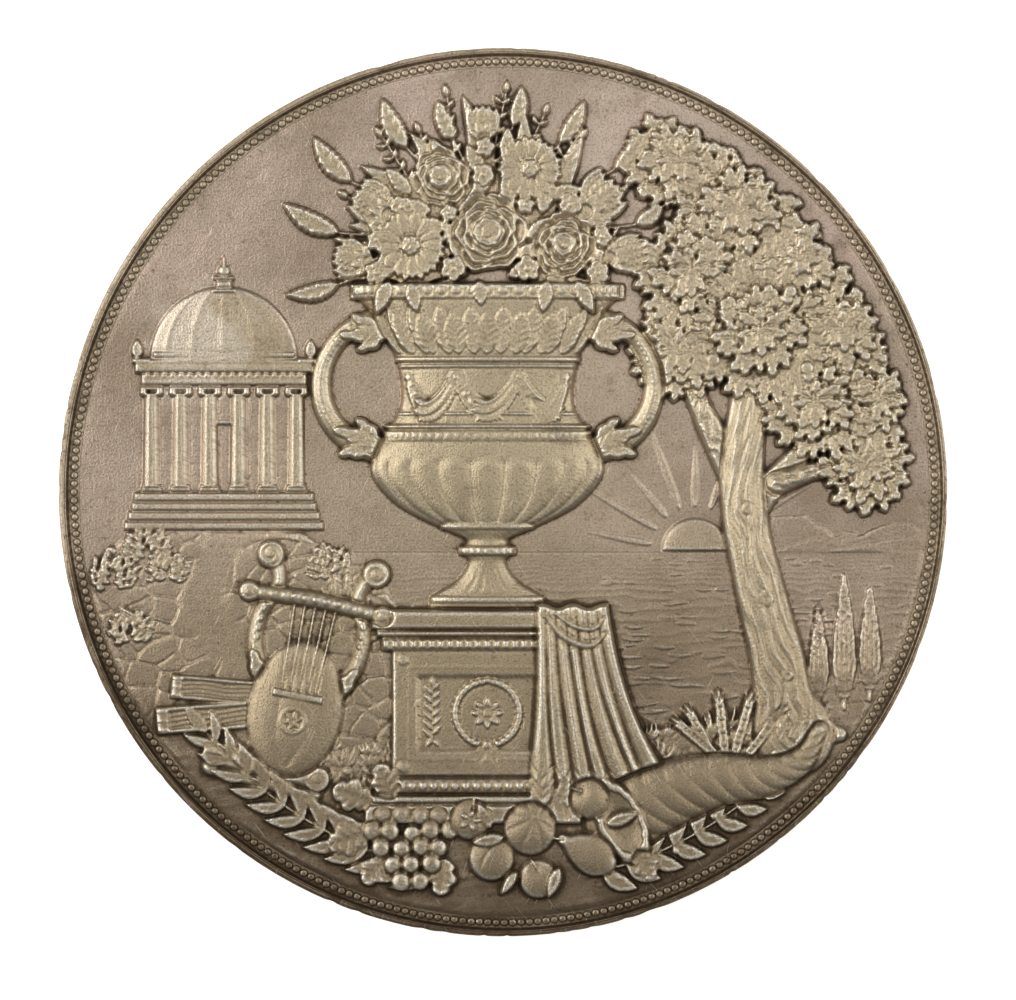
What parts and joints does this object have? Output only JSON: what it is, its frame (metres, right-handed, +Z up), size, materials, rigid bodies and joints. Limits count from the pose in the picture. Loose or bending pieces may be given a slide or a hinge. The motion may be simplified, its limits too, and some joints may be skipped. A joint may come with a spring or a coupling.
{
  "type": "commemorative table medal",
  "caption": "Large round silver medal, struck in high relief inside a beaded border, that rests flat on its plain reverse.",
  "frame": {"origin": "middle of the reverse rim, on the plane that the medal rests on", "axes": "+Z up through the medal towards its obverse, +Y to the top of the design, +X to the right of the design"},
  "size_m": [0.07, 0.07, 0.0057],
  "materials": {
    "silver": "toned and lightly worn silver, dark in the recesses and bright on the high points"
  },
  "bodies": {
    "root": {"medal": "silver"}
  },
  "joints": []
}
